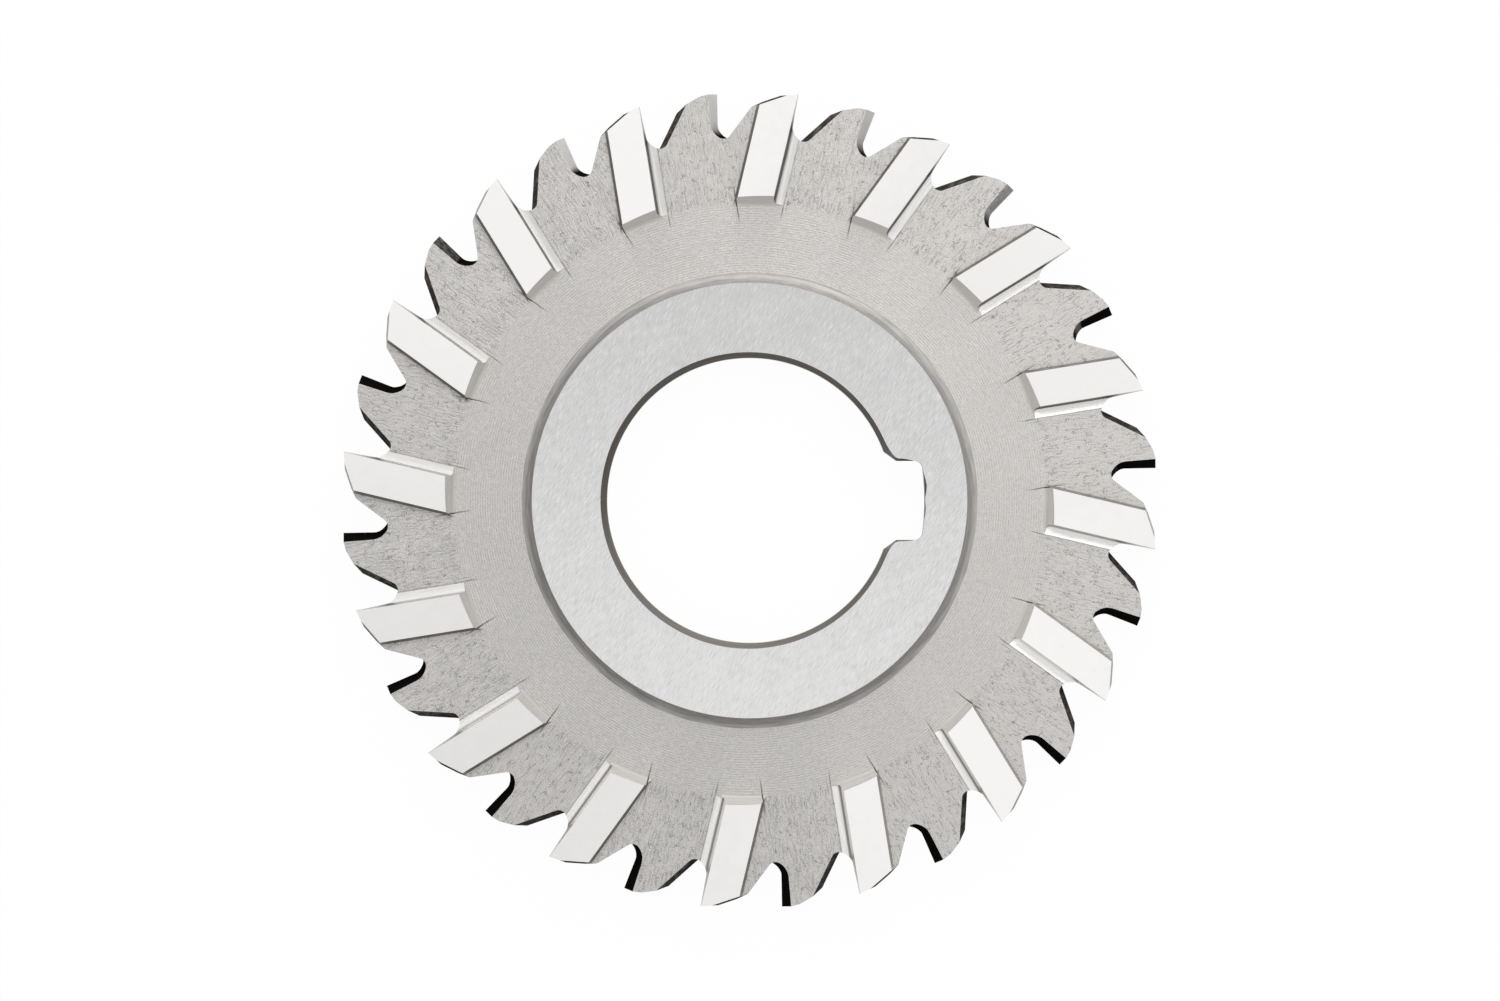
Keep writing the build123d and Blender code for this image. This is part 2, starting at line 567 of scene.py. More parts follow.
# %% Sizes of the bore and the keyway
keyway_half_width = 3.05
keyway_reach = 13.35
keyway_corner = 0.6
floor_bow = 0.15
mouth_bevel = 0.75
bore_chamfer = 0.425
chamfer_shift = 0.062
bore_steps = 300
bevel_steps = 12
side_steps = 16
corner_steps = 8
floor_steps = 40

mouth = asin(keyway_half_width / bore_radius) + mouth_bevel / bore_radius
bevel_end = sqrt(bore_radius ** 2 - keyway_half_width ** 2) + mouth_bevel
print("the keyway's mouth takes up", round(degrees(2 * mouth), 1), "degrees of the bore")

# %% [markdown]
# ## Two edges side by side
#
# A station is a point of the outline, the direction to its partner on the eased edge, and how far
# off that is. Round the bore the partner is on the chamfer's edge. At the keyway's mouth it
# follows a curve that leaves that edge along its tangent and runs into the strip on the wall.

# %% Pair the outline with the eased edge
def smooth(share):
    """Eases a share from 0 to 1, flat at both ends."""
    share = min(max(share, 0), 1)
    return share * share * (3 - 2 * share)


def round_edge(radius, turn):
    """Point of a circle about the bore's axis."""
    return (radius * cos(turn), radius * sin(turn))


def paired(inner, outer):
    """A point of the outline, the direction to its partner, and how far off that is."""
    ease = dist(inner, outer)
    return inner, ((outer[0] - inner[0]) / ease, (outer[1] - inner[1]) / ease), ease


def chamfer_edge(turn):
    """Where the chamfer of the bore meets the face."""
    return round_edge(bore_radius + bore_chamfer - chamfer_shift * cos(turn), turn)


def bezier(points, share):
    """Point of a cubic curve at a share of its way."""
    rest = 1 - share
    weights = (rest ** 3, 3 * rest ** 2 * share, 3 * rest * share ** 2, share ** 3)
    x, y = (sum(w * point[axis] for w, point in zip(weights, points)) for axis in (0, 1))
    return (x, y)


for place, turn in (("by the keyway", 0), ("across from it", pi)):
    eased = paired(round_edge(bore_radius, turn), chamfer_edge(turn))[2]
    print("the chamfer", place, "is", round(eased, 3), "mm wide")

# %% [markdown]
# ## Sides and floor of the keyway
#
# The two mouths were filed by hand and differ. `turn` is where round the bore the chamfer's edge
# starts to bend away, `lead` is how long it keeps its direction, `wall_ease` is the width of the
# strip that it runs into, and `fade` is how far along the wall that strip dies out.

# %% Draw the keyway
upper_mouth = {"turn": radians(25), "wall_ease": 0.18, "lead": 1.1, "fade": 1.15}
lower_mouth = {"turn": radians(23), "wall_ease": 0.10, "lead": 0.95, "fade": 1.2}
filed_stretches = [
    {"middle": 1.15, "half_length": 1.3, "ease": 0.18},
    {"middle": -0.7, "half_length": 1.1, "ease": 0.08},
]
past_bevel = 0.2
wall_lead = 0.32


def mouth_stations(turn, wall_ease, lead):
    """From the bore at that turn, past the bevel, to the keyway's wall."""
    edge = chamfer_edge(turn)
    end = (bevel_end + past_bevel, keyway_half_width + wall_ease)
    leaving = (edge[0] + lead * sin(turn), edge[1] - lead * cos(turn))
    curve = [edge, leaving, (end[0] - wall_lead, end[1]), end]
    corner = round_edge(bore_radius, mouth)
    path = []
    for step in range(bevel_steps):
        path.append(round_edge(bore_radius, turn + (mouth - turn) * step / bevel_steps))
    for step in range(bevel_steps + 1):
        share = step / bevel_steps
        x = corner[0] + (bevel_end - corner[0]) * share
        path.append((x, corner[1] + (keyway_half_width - corner[1]) * share))
    path.append((end[0], keyway_half_width))
    reached = [0.0]
    for before, after in zip(path, path[1:]):
        reached.append(reached[-1] + dist(before, after))
    return [paired(point, bezier(curve, way / reached[-1])) for point, way in zip(path, reached)]


def keyway_side(side, turn, wall_ease, lead, fade):
    """Half of the keyway from the bore to the floor's corner."""
    stations = mouth_stations(turn, wall_ease, lead)
    start = bevel_end + past_bevel
    stop = keyway_reach - keyway_corner
    for step in range(1, side_steps):
        run = (stop - start) * step / side_steps
        ease = wall_ease * (1 - min(run / fade, 1) ** 2)
        stations.append(((start + run, keyway_half_width), (0, 1), ease))
    centre = (stop, keyway_half_width - keyway_corner)
    for x, y in arc(centre, keyway_corner, 90, 0, corner_steps):
        away = ((x - centre[0]) / keyway_corner, (y - centre[1]) / keyway_corner)
        stations.append(((x, y), away, 0))
    return [((x, side * y), (nx, side * ny), ease) for (x, y), (nx, ny), ease in stations]


def keyway_floor():
    """The bowed floor, with its filed stretches."""
    half = keyway_half_width - keyway_corner
    stations = []
    for step in range(1, floor_steps):
        y = half * (2 * step / floor_steps - 1)
        ease = 0.0
        for stretch in filed_stretches:
            off = abs(y - stretch["middle"]) / stretch["half_length"]
            ease += stretch["ease"] * smooth(1 - off)
        stations.append(((keyway_reach + floor_bow * (1 - (y / half) ** 2), y), (1, 0), ease))
    return stations


keyway = keyway_side(-1, **lower_mouth) + keyway_floor() + keyway_side(1, **upper_mouth)[::-1]
print("the keyway is drawn with", len(keyway), "stations")

# %% [markdown]
# ## One cutter for both
#
# The outline goes straight through the middle of the saw. Where a face is near, each point moves
# out to its partner, at 45 degrees, so the easing is as deep as it is wide.

# %% Cut the bore and the keyway
overlap = 0.01


def bore_and_keyway():
    """Cutter for both: straight through the middle, widening at 45 degrees towards each face."""
    first = upper_mouth["turn"]
    span = 2 * pi - first - lower_mouth["turn"]
    stations = []
    for step in range(1, bore_steps):
        turn = first + span * step / bore_steps
        stations.append(paired(round_edge(bore_radius, turn), chamfer_edge(turn)))
    stations += keyway
    rings = []
    for face, away in ((0, 1), (width, -1)):
        inner = []
        outer = []
        for (x, y), (nx, ny), ease in stations:
            inner.append((x, y, face + away * ease))
            reach = ease + overlap
            outer.append((x + nx * reach, y + ny * reach, face - away * overlap))
        beyond = [(x, y, face - away * clear) for x, y, height in outer]
        rings += [beyond, outer, inner] if away > 0 else [inner, outer, beyond]
    return closed_mesh("bore", rings, [0] * len(stations))


bore = bore_and_keyway()
bore.materials.append(finish_called("bore_wall"))
combine(saw, shown("bore", bore), "DIFFERENCE")
print("bore and keyway cut, body has", len(saw.data.polygons), "faces")

# %% [markdown]
# ## Clean the mesh and bring it to size
#
# Boolean cuts leave a few points that nearly coincide. They are merged, the mesh is scaled to
# metres, curved strips are shaded smooth and edges sharper than 12.5 degrees stay crisp. The
# volume and the count of open edges tell whether the cuts went through as they should.

# %% Merge, scale and measure
merge_distance = 0.0008
crisp_angle = radians(12.5)

shape = bmesh.new()
shape.from_mesh(saw.data)
bmesh.ops.remove_doubles(shape, verts=shape.verts, dist=merge_distance)
bmesh.ops.dissolve_degenerate(shape, edges=shape.edges, dist=merge_distance / 2)
open_edges = sum(not edge.is_manifold for edge in shape.edges)
print("volume", round(shape.calc_volume(), 1), "cubic mm, open edges", open_edges)
shape.to_mesh(saw.data)
shape.free()
saw.data.transform(Matrix.Scale(MM, 4))
saw.data.attributes.remove(saw.data.attributes["mark"])
saw.data.shade_smooth()
saw.data.set_sharp_from_angle(angle=crisp_angle)
print("finishes on the saw:", [slot.name for slot in saw.data.materials])
print("faces", len(saw.data.polygons), "corners", len(saw.data.vertices))

# %% [markdown]
# ## Where a finish lies
#
# Most finishes follow the way the steel was cut: rings round the bore, or streaks along a tooth.
# So object coordinates are turned into distances from the bore's axis and in the frame of the
# nearest tooth. A tooth space starts a little behind a tip, so that its border runs under a land.
# A seed that changes from one space to the next keeps the marks from repeating.

# %% Places in millimetres
space_start = radians(3.7)
space_seed = 7.3
front_seed = 190


class Finish(Nodes):
    """Nodes of one material, with the pattern makers that the finishes share."""

    def split(self, vector):
        first = self.add("ShaderNodeSeparateXYZ", values={0: vector})
        return [Field(self, socket) for socket in first.socket.node.outputs]

    def noise(self, x, y, z, detail=2.0):
        """Noise from 0 to 1 whose features are about one unit long in each coordinate."""
        values = {"Vector": self.join(x, y, z), "Scale": 1.0, "Detail": detail}
        return self.add("ShaderNodeTexNoise", values=values, output="Fac")

    def rise(self, value, low, high):
        """0 below low, 1 above high and a smooth step between; high below low makes it fall."""
        values = {"Value": value, "From Min": low, "From Max": high}
        return self.add("ShaderNodeMapRange", {"interpolation_type": "SMOOTHSTEP"}, values)

    def line(self, value, centre, half_width):
        """1 where the value passes the centre, fading to 0 at half_width to each side."""
        return 1 - self.rise(self.math("ABSOLUTE", value - centre), half_width * 0.3, half_width)

    def mix(self, share, first, second):
        values = {0: share, 6: first, 7: second}
        return self.add("ShaderNodeMix", {"data_type": "RGBA"}, values, output=2)

    def facing(self):
        """The parts along X, Y and Z of the direction in which the surface faces."""
        return self.split(self.add("ShaderNodeTexCoord", output="Normal"))

    def locate(self):
        """Sets x, y, z, radius and azimuth in mm and radians, and how far east and north it is."""
        spot = self.add("ShaderNodeTexCoord", output="Object")
        scaled = self.add("ShaderNodeVectorMath", {"operation": "SCALE"}, {0: spot, 3: 1 / MM})
        self.x, self.y, self.z = self.split(scaled)
        self.radius = self.math("SQRT", self.x * self.x + self.y * self.y)
        self.azimuth = self.math("ARCTAN2", self.y, self.x)
        self.east = self.x / self.radius
        self.north = self.y / self.radius
        return self

    def find_tooth(self):
        """Sets how far a point lies ahead of the side edge and out along it, and the seed."""
        front = self.math("GREATER_THAN", self.z, mid_width)
        row_start = first_tip + space_start + (1 - front) * (pitch / 2 + back_lag)
        space = self.math("FLOOR", (self.azimuth - row_start) / pitch)
        from_tip = self.azimuth - row_start - space * pitch + (space_start - pitch + hook)
        self.ahead = tip_radius * sin(hook) - self.radius * self.math("SINE", from_tip)
        self.outward = self.radius * self.math("COSINE", from_tip)
        self.seed = space * space_seed + front * front_seed
        return self

    def space_noise(self, ahead, outward, shift=0, detail=3):
        """Noise laid along the side edge, with that many features to a mm in each direction."""
        return self.noise(self.ahead * ahead, self.outward * outward, self.seed + shift, detail)


print("a tooth space starts", round(degrees(space_start), 1), "degrees behind a tip")

# %% [markdown]
# ## One shader behind every finish
#
# Each finish ends in the same Principled shader. Its pattern feeds the colour and, where the
# steel is rough enough, a Bump node. Steel is nearly grey, so a linear value and a little warmth
# are enough to name its colour.

# %% Shader and colours
def write_finish(color, roughness, metallic=1.0, height=None, depth=0.0, specular=0.5):
    """Puts a Principled shader behind a pattern. depth is the height of its relief in mm."""
    nodes = color.nodes
    values = {"Base Color": color, "Roughness": roughness, "Metallic": metallic}
    values["Specular IOR Level"] = specular
    if height is not None:
        relief = {"Strength": 1.0, "Distance": depth * MM, "Height": height}
        values["Normal"] = nodes.add("ShaderNodeBump", values=relief)
    shader = nodes.add("ShaderNodeBsdfPrincipled", values=values)
    nodes.add("ShaderNodeOutputMaterial", values={"Surface": shader})
    print("finish", nodes.name, "has", len(nodes.tree.nodes), "nodes")


def finish_nodes(name):
    """An empty node tree for a finish, with the point already located."""
    material = finish_called(name)
    material.use_nodes = True
    nodes = Finish(material.node_tree).locate()
    nodes.name = name
    return nodes


def steel(value, warmth=0.0):
    """A grey of that linear value, neutral at 0 and browner as warmth grows."""
    return (value * (1 + 0.5 * warmth), value, value * (1 - 0.6 * warmth), 1.0)


scratch_color = steel(0.07, 0.1)
print("linear colour of a scratch:", [round(part, 3) for part in scratch_color[:3]])

# %% [markdown]
# ## Ground hub
#
# A surface grinder leaves short straight scratches, all in one direction across the whole face.
# The grain is noise squeezed across that direction and stretched along it, at two widths, over a
# slow cloudiness. It shows in the colour, and lightly in the relief.

# %% Ground hub
grind_direction = radians(62)


def ground_hub():
    nodes = finish_nodes("ground_hub")
    along = nodes.x * cos(grind_direction) + nodes.y * sin(grind_direction)
    across = nodes.y * cos(grind_direction) - nodes.x * sin(grind_direction)
    fine = nodes.noise(across * 24, along * 1.4, nodes.z, detail=2)
    broad = nodes.noise(across * 8, along * 0.7, nodes.z + 9, detail=2)
    speck = nodes.noise(nodes.x * 15, nodes.y * 15, nodes.z, detail=1)
    cloud = nodes.noise(across * 0.7, along * 0.35, nodes.z, detail=3)
    drift = nodes.y * -0.022
    grain = (fine - 0.5) * 2.5 + (broad - 0.5) * 0.6 + (speck - 0.5) * 1.1
    tone = 0.5 + grain + (cloud - 0.5) * 0.5 + drift
    color = nodes.mix(tone, steel(0.59, 0.006), steel(0.845, 0.006))
    write_finish(color, 0.36, height=fine, depth=0.002)


ground_hub()

# %% [markdown]
# ## Turned foot
#
# The concave foot of the hub was turned, so it carries ridges that run round the bore. They are
# noise along the radius. How far east and north a point lies gives the other two coordinates, and
# breaks each ridge up without a seam. A band of painted shade lies in the hollow of the foot, and
# painted light makes the foot lighter towards +X and +Y.

# %% Turned foot
painted_shade_band_ring = hub_radius + 0.54
painted_shade_band_half_width = 0.5


def ring_noise(nodes, ridges_per_mm, breaks):
    """Noise that makes ridges round the bore, broken into arcs."""
    ridges = nodes.radius * ridges_per_mm
    return nodes.noise(ridges, nodes.east * breaks, nodes.north * breaks, detail=2)


def turned_foot():
    nodes = finish_nodes("turned_foot")
    ridges = ring_noise(nodes, 6, 9)
    # painted shade: a darker band in the hollow of the foot
    painted_shade_band = nodes.line(nodes.radius, painted_shade_band_ring, painted_shade_band_half_width)
    # painted light: the foot is lighter towards +X and +Y
    drift = (nodes.x + nodes.y) / nodes.radius * 0.12
    tone = 0.84 - painted_shade_band * 0.44 + drift + (ridges - 0.5) * 1.3
    color = nodes.mix(tone, steel(0.28, 0.08), steel(0.56, 0.06))
    write_finish(color, 0.58, metallic=0.85, height=ridges, depth=0.006)


turned_foot()

# %% [markdown]
# ## Rings of the lathe
#
# Towards the hub the web shows the fine rings of the lathe. They are a sine wave of the radius
# that wanders a little and comes and goes. Short arcs and specks lie over it.

# %% Rings of the lathe
ring_pitch = 0.19


def web_rings(nodes):
    """Tone and relief of the lathe's rings."""
    wander = ring_noise(nodes, 0.8, 4)
    wave = nodes.math("SINE", (nodes.radius + wander * 0.15) * (2 * pi / ring_pitch))
    strength = nodes.noise(nodes.x * 0.6, nodes.y * 0.6, nodes.z, detail=3)
    arcs = ring_noise(nodes, 9, 60)
    speck = nodes.noise(nodes.x * 17, nodes.y * 17, nodes.z, detail=2)
    return wave * (strength - 0.25) * 0.75 + (arcs - 0.5) * 1.2 + (speck - 0.5) * 3.0


print("rings", ring_pitch, "mm apart")

# %% [markdown]
# ## Marks of the milling cutter
#
# Between the lands the web was milled, and the tough steel tore: thin curling cracks, fine wavy
# lines along the side edge, and a few dark scratches that run past the lands' corners. A bent
# ramp cut into whole steps gives the lines, and a second noise keeps only stretches of them.

# %% Tears, lines and scratches
def torn_lines(nodes, ramp, bend, half_width):
    """Thin wavy lines, one for each whole step of a ramp that a noise bends."""
    phase = nodes.math("FRACT", ramp + bend)
    return nodes.line(phase, 0.5, half_width)


def pocket_tears(nodes):
    """Thin dark curls: bent lines, kept only where another noise is high."""
    bend = nodes.space_noise(1.9, 1.3)
    curl = torn_lines(nodes, nodes.ahead * 1.5, bend * 3.4, 0.075)
    bend = nodes.space_noise(1.5, 2.2, shift=40)
    curl = nodes.math("MAXIMUM", curl, torn_lines(nodes, nodes.outward * 0.9, bend * 3.4, 0.065))
    kept = nodes.space_noise(2.4, 1.9, shift=80, detail=1)
    return curl * nodes.rise(kept, 0.5, 0.58)


def pocket_lines(nodes):
    """Fine wavy lines that the milling left along the side edge."""
    bend = nodes.space_noise(1.1, 0.7, shift=120)
    lines = torn_lines(nodes, nodes.ahead * 3.6, bend * 3.0, 0.22)
    kept = nodes.space_noise(3, 0.6, shift=160, detail=2)
    return lines * nodes.rise(kept, 0.46, 0.6)


def scratch(nodes, ahead, start, stop, half_width):
    """A dark scratch that far ahead of the side edge, faded in from start and out before stop."""
    wander = (nodes.noise(nodes.outward * 1.3, nodes.seed, 0.0) - 0.5) * 0.12
    reach = nodes.rise(nodes.outward, start, start + 1.3)
    reach = reach * nodes.rise(nodes.outward, stop, stop - 1.2)
    return nodes.line(nodes.ahead + wander, ahead, half_width) * reach


def pocket_scratches(nodes):
    """Scratches where the cutter ran out: two by the side gullet and one by the next land."""
    first = scratch(nodes, ahead=0.92, start=21.2, stop=23.3, half_width=0.07)
    second = scratch(nodes, ahead=1.18, start=21.9, stop=23.6, half_width=0.05)
    return first + second + scratch(nodes, ahead=6.24, start=20.9, stop=24.6, half_width=0.075)


# %% [markdown]
# ## Web and pockets in one finish
#
# Both marks lie on one flat face. The radius tells which holds, with a ragged border, and just
# outside it the cutter left a rough band. The side gullet, milled later, raised a burr, and the
# thin dark line along its outer edge is that burr and its painted shade in one. Painted light
# makes the whole web lighter towards +X.

# %% Turned web and milled pockets
web_border = 22.85
run_out_end = 24.4
burr_and_shade_ahead = 0.9
burr_and_shade_half_width = 0.08


def milled_web():
    nodes = finish_nodes("milled_web").find_tooth()
    ragged = nodes.space_noise(5, 0.8)
    milled = nodes.rise(nodes.radius + (ragged - 0.5) * 1.8, web_border - 0.15, web_border + 0.2)
    rings = web_rings(nodes)
    sway = nodes.space_noise(1.2, 1.2, shift=10, detail=2)
    swayed = nodes.ahead + sway * 0.5
    streak = nodes.noise(swayed * 13, nodes.outward * 1.3, nodes.seed, detail=3) - 0.5
    grain = nodes.space_noise(16, 16, detail=2) - 0.5
    cloud = nodes.space_noise(0.8, 0.8, shift=20) - 0.5
    tears = pocket_tears(nodes)
    hatch = nodes.space_noise(8, 1.6, shift=60, detail=2)
    run_out = nodes.rise(nodes.radius, web_border, web_border + 0.3)
    run_out = run_out * nodes.rise(nodes.radius, run_out_end, run_out_end - 1.0)
    hatch = nodes.rise(hatch, 0.52, 0.66) * run_out
    scratches = pocket_scratches(nodes)
    lines = pocket_lines(nodes)
    # painted light: the web is lighter towards +X
    painted_east_light = nodes.rise(nodes.east, -0.2, 0.9)
    milled_tone = 0.63 + streak * 1.9 + grain * 3.4 + cloud * 0.6
    milled_tone = milled_tone - hatch * 0.8 - lines * 0.6 + painted_east_light * 0.3
    tone = 0.5 + rings + painted_east_light * 0.2
    tone = tone + (milled_tone - tone) * milled
    turned_color = nodes.mix(tone, steel(0.42, 0.06), steel(0.64, 0.06))
    milled_color = nodes.mix(tone, steel(0.40, 0.06), steel(0.62, 0.06))
    color = nodes.mix(milled, turned_color, milled_color)
    # a dark line beside the side gullet: a burr and its painted shade
    burr_and_shade = nodes.line(nodes.ahead, burr_and_shade_ahead, burr_and_shade_half_width)
    burr_and_shade = burr_and_shade * nodes.rise(nodes.outward, side_gullet_start, side_gullet_start + 0.15)
    dark = nodes.math("MINIMUM", tears * milled * 0.5 + scratches * 0.7 + burr_and_shade * 0.25, 1.0)
    color = nodes.mix(dark, color, scratch_color)
    write_finish(color, 0.46, height=tone * 0.5 - dark, depth=0.01)


milled_web()

# %% [markdown]
# ## Ground lands
#
# The lands are the brightest part of the saw: ground last, almost without grain. A painted sheen
# changes their tone round the rim, and they are painted a little darker towards +X. Their coned
# inner ends keep the ridges of the milling cutter, and the pockets' scratches run up onto them. On
# those ends painted shade darkens the foot, and painted light makes them lighter towards +X and +Y.

# %% Lands and their inner ends
painted_sheen_azimuth = radians(128)


def ground_land():
    nodes = finish_nodes("ground_land").find_tooth()
    grain = nodes.noise(nodes.x * 6, nodes.y * 6, nodes.seed, detail=3)
    cloud = nodes.noise(nodes.x * 0.9, nodes.y * 0.9, nodes.seed, detail=2)
    # painted sheen that changes round the rim
    painted_sheen = nodes.math("COSINE", (nodes.azimuth - painted_sheen_azimuth) * 2)
    # with painted shade towards +X as well
    tone = 0.54 + painted_sheen * 0.56 + (grain - 0.5) * 0.3 + (cloud - 0.5) * 0.4 - nodes.east * 0.12
    color = nodes.mix(tone, steel(0.85, 0.03), steel(0.99, 0.02))
    write_finish(color, 0.32, height=grain, depth=0.001)


def land_end():
    nodes = finish_nodes("land_end").find_tooth()
    ridges = ring_noise(nodes, 13, 9)
    # painted shade at the foot of the cone
    slope = nodes.rise(nodes.radius, land_inner_radius - 0.8, land_inner_radius - 0.4)
    # painted light: lighter towards +X and +Y
    drift = (nodes.x + nodes.y) / nodes.radius * 0.15
    tone = slope * 0.7 + drift + (ridges - 0.5) * 0.8 + 0.12
    color = nodes.mix(tone, steel(0.52, 0.08), steel(0.78, 0.06))
    color = nodes.mix(pocket_scratches(nodes), color, scratch_color)
    write_finish(color, 0.65, metallic=0.75, height=ridges, depth=0.006)


ground_land()
land_end()

# %% [markdown]
# ## Walls beside the lands
#
# These walls were never ground. Their brown-grey is thin scale together with painted shade, and
# on walls that look certain ways round the saw, painted light makes them bright steel. The way a
# wall faces, from the Normal output of Texture Coordinate, says which. The wall in the side gullet
# is bright along its top edge, where it was ground, and towards the tip. Deeper down it is dark
# scale with painted shade.

# %% Back walls and front walls
bright_tip_start = 28.9
bright_tip_end = 29.9


def wall_streaks(nodes):
    """Streaky tone of a wall."""
    streak = nodes.noise(nodes.radius * 0.9, nodes.z * 5, nodes.azimuth * 3, detail=3)
    return 0.5 + (streak - 0.5) * 2


def land_wall():
    nodes = finish_nodes("land_wall")
    east, north, up = nodes.facing()
    # brown-grey: thin scale together with painted shade
    scale = nodes.mix(wall_streaks(nodes), steel(0.16, 0.12), steel(0.36, 0.08))
    # painted light on walls that look towards +X and +Y
    painted_light = nodes.rise(east * 0.88 + north * 0.47, 0.55, 1.0)
    write_finish(nodes.mix(painted_light, scale, steel(0.6, 0.06)), 0.5)


def side_wall():
    nodes = finish_nodes("side_wall")
    east, north, up = nodes.facing()
    # dark scale together with painted shade
    scale = nodes.mix(wall_streaks(nodes), steel(0.03, 0.3), steel(0.16, 0.25))
    # painted light: brighter on walls that look north, brightest on walls that look west
    scale = nodes.mix(nodes.rise(north - east * 0.3, 0.2, 1.0) * 0.38, scale, steel(0.85, 0.06))
    scale = nodes.mix(nodes.rise(east + north * 0.12, 0.1, -0.85), scale, steel(1.0, 0.05))
    # bright along the top edge and towards the tip, dark deeper down
    depth = nodes.math("MINIMUM", nodes.z, width - nodes.z)
    deep = nodes.rise(depth, 0.03, 0.26) * nodes.rise(nodes.radius, bright_tip_end, bright_tip_start)
    write_finish(nodes.mix(deep, steel(0.8, 0.04), scale), 0.5)


land_wall()
side_wall()

# %% [markdown]
# ## Floor of the side gullets
#
# The floor is smooth and bright. Its corner by the wall gets painted shade at the top and the
# bottom of the saw and painted light elsewhere, and the whole floor is painted a little darker
# towards the top and the bottom. On the right its outer strip is painted dimmer where glare would
# be.

# %% Side gullets
def side_gullet_floor():
    nodes = finish_nodes("side_gullet").find_tooth()
    streak = nodes.space_noise(14, 0.4, detail=2)
    north = nodes.north
    # painted shade in the corner by the wall, at the top and the bottom of the saw
    shade = nodes.rise(north, 0.8, 1.0) * 0.9 + nodes.rise(north, -0.3, -0.95) * 1.6
    corner = nodes.rise(nodes.ahead, 0.44, 0.16) * shade
    # painted dimmer on the right, where glare would be
    glare = nodes.rise(nodes.east, 0.2, 0.9) * nodes.rise(nodes.ahead, 0.3, 0.6)
    # painted light in that corner elsewhere
    lift = nodes.rise(nodes.ahead, 0.6, 0.2) * (1 - shade)
    tone = 0.94 - corner + (streak - 0.5) * 0.5
    # painted shade: the floor is a little darker towards the top and the bottom
    tone = tone - glare * 0.14 + lift * 0.3 - north * north * 0.1
    color = nodes.mix(tone, steel(0.25, 0.08), steel(1.0, 0.02))
    write_finish(color, 0.44, metallic=0.9, height=streak, depth=0.005)


side_gullet_floor()

# %% [markdown]
# ## Scale, tooth faces and edges
#
# Hardening leaves dark scale wherever no wheel has been since: in the gullets and on the crests
# behind the edge. It is rough and takes almost no shine, so it is not metallic here and its
# specular level is low. The tooth faces are painted near black for the dark they reflect, with a
# painted highlight on those that look along +X and painted shade towards the root. The crests get
# painted light grey where they look along X, and the heels behind them do not.

# %% Scale and edges
def scale_finish(name, dark, light, streaks, painted_light=0.0):
    nodes = finish_nodes(name)
    grain = nodes.noise(nodes.x * streaks, nodes.y * streaks, nodes.z * 0.8, detail=3)
    tone = nodes.rise(grain, 0.45, 0.7)
    color = nodes.mix(tone, steel(dark, 0.15), steel(light, 0.15))
    if painted_light:
        east, north, up = nodes.facing()
        # painted light grey on faces that look along X
        sideways = nodes.rise(nodes.math("ABSOLUTE", east), 0.6, 0.95)
        color = nodes.mix(sideways * painted_light, color, steel(0.55, 0.02))
    write_finish(color, 0.6, metallic=0.0, specular=0.0)


def tooth_face():
    nodes = finish_nodes("tooth_face")
    east, north, up = nodes.facing()
    grain = nodes.noise(nodes.x * 3, nodes.y * 3, nodes.z * 3, detail=3)
    # painted highlight on tooth faces that look along +X
    painted_highlight = nodes.rise(east + (grain - 0.5) * 0.2, 0.55, 0.9)
    # painted shade towards the gullet's root
    root = nodes.rise(nodes.radius, root_radius + 0.1, root_radius + 1.4)
    # near black: the dark these faces reflect, painted in
    color = nodes.mix(painted_highlight * root, steel(0.006, 0.1), steel(0.7, 0.04))
    write_finish(color, 0.6, metallic=0.0, specular=0.0)


def bore_wall():
    nodes = finish_nodes("bore_wall")
    ridges = nodes.noise(nodes.z * 12, nodes.azimuth * 2, nodes.radius * 4, detail=2)
    # painted light: the bore is lighter on its south side
    painted_light_south = nodes.rise(nodes.north, 0.1, -0.4)
    color = nodes.mix(ridges * 0.6 + painted_light_south * 0.4 - 0.05, steel(0.12, 0.16), steel(0.40, 0.14))
    write_finish(color, 0.42, height=ridges, depth=0.003)


def ground_relief():
    nodes = finish_nodes("ground_relief")
    grain = nodes.noise(nodes.x * 8, nodes.y * 8, nodes.z * 8, detail=2)
    write_finish(nodes.mix(grain, steel(0.5), steel(0.75)), 0.35)


scale_finish("gullet_scale", 0.05, 0.13, 2.0)
scale_finish("crest_scale", 0.03, 0.12, 1.6, painted_light=0.9)
scale_finish("heel_scale", 0.03, 0.12, 1.6)
tooth_face()
bore_wall()
ground_relief()

# %% [markdown]
# ## Floor
#
# The saw lies on a white floor. For rays from the camera, and for those that steel reflects, most
# of the floor's colour is plain white, and the rest is a lit surface that keeps the saw's shadow.

# %% Floor
floor_size = 4.0
plain_white_share = 0.975

floor_mesh = bpy.data.meshes.new("floor")
half = floor_size / 2
corners = [(-half, -half, 0), (half, -half, 0), (half, half, 0), (-half, half, 0)]
floor_mesh.from_pydata(corners, [], [(0, 1, 2, 3)])
floor = shown("floor", floor_mesh)
white_floor = finish_called("white_floor")
white_floor.use_nodes = True
floor_mesh.materials.append(white_floor)


def write_floor(nodes):
    path = nodes.add("ShaderNodeLightPath")
    seen = 0.0
    for ray in ("Is Camera Ray", "Is Glossy Ray", "Is Transmission Ray"):
        seen = nodes.math("MAXIMUM", Field(nodes, path.socket.node.outputs[ray]), seen)
    lit = nodes.add("ShaderNodeBsdfDiffuse", values={"Color": (0.9, 0.9, 0.9, 1)})
    plain = nodes.add("ShaderNodeEmission", values={"Color": (1, 1, 1, 1), "Strength": 1.0})
    parts = {0: seen * plain_white_share, 1: lit, 2: plain}
    surface = nodes.add("ShaderNodeMixShader", values=parts)
    nodes.add("ShaderNodeOutputMaterial", values={"Surface": surface})


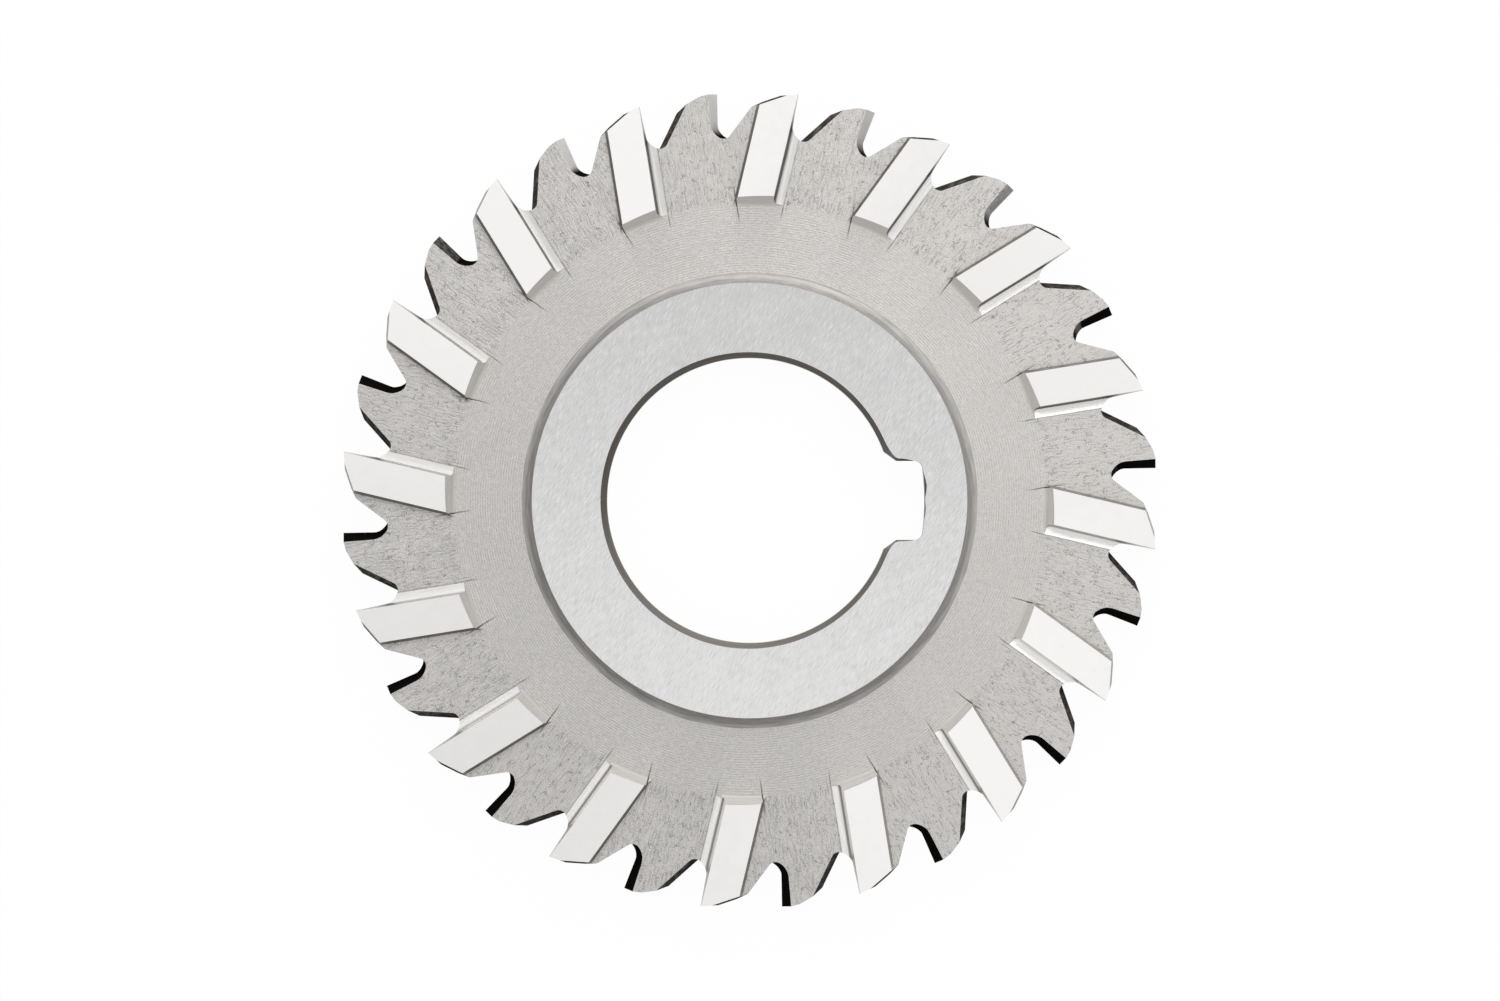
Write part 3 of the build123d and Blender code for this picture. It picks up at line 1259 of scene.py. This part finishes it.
write_floor(Finish(white_floor.node_tree))
print("white floor,", floor_size, "m wide")

# %% [markdown]
# ## Sky and lamp
#
# The sky is bright overhead and dimmer towards the horizon, as in a tent of cloth over a table,
# so that walls and chamfers turn darker than flat faces. A soft lamp stands beyond the top of the
# picture, a little to the right.

# %% Sky and lamp
horizon_light = 0.25
zenith_light = 0.85
lamp_place = (0.05, 0.275, 0.26)
lamp_size = 0.32
lamp_power = 0.8

scene.world = bpy.data.worlds.new("studio")
scene.world.use_nodes = True


def write_sky(nodes):
    direction = nodes.add("ShaderNodeTexCoord", output="Generated")
    east, north, up = nodes.split(direction)
    light = horizon_light + (zenith_light - horizon_light) * nodes.rise(up, 0.0, 0.9)
    sky = nodes.add("ShaderNodeBackground", values={"Color": (1, 1, 1, 1), "Strength": light})
    nodes.add("ShaderNodeOutputWorld", values={"Surface": sky})


write_sky(Finish(scene.world.node_tree))

lamp = bpy.data.lights.new("key", "AREA")
lamp.size = lamp_size
lamp.energy = lamp_power
lamp_holder = shown("key", lamp)
lamp_holder.location = lamp_place
east, north, up = lamp_place
lamp_holder.rotation_euler = (0, atan2(hypot(east, north), up), atan2(north, east))
print("a square lamp at", lamp_place, "with", lamp_power, "W")

# %% [markdown]
# ## Camera
#
# The camera looks straight down from a metre away through a long lens, so gullets on opposite
# sides of the saw look alike. view_width is how much of the front face's plane it takes in.

# %% Camera
view_width = 0.11556
lens_distance = 1.0
sensor_width = 36.0
image_centre = (0.000034, -0.000004)

camera = bpy.data.cameras.new("camera")
camera.sensor_width = sensor_width
camera.lens = sensor_width * lens_distance / view_width
camera_holder = shown("camera", camera)
camera_holder.location = (*image_centre, width * MM + lens_distance)
scene.camera = camera_holder
scene.view_settings.view_transform = "Standard"
print("camera lens", round(camera.lens, 1), "mm")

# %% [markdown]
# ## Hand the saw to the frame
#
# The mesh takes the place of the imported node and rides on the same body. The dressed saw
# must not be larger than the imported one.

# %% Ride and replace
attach(saw, "root")
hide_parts("slitting_saw")
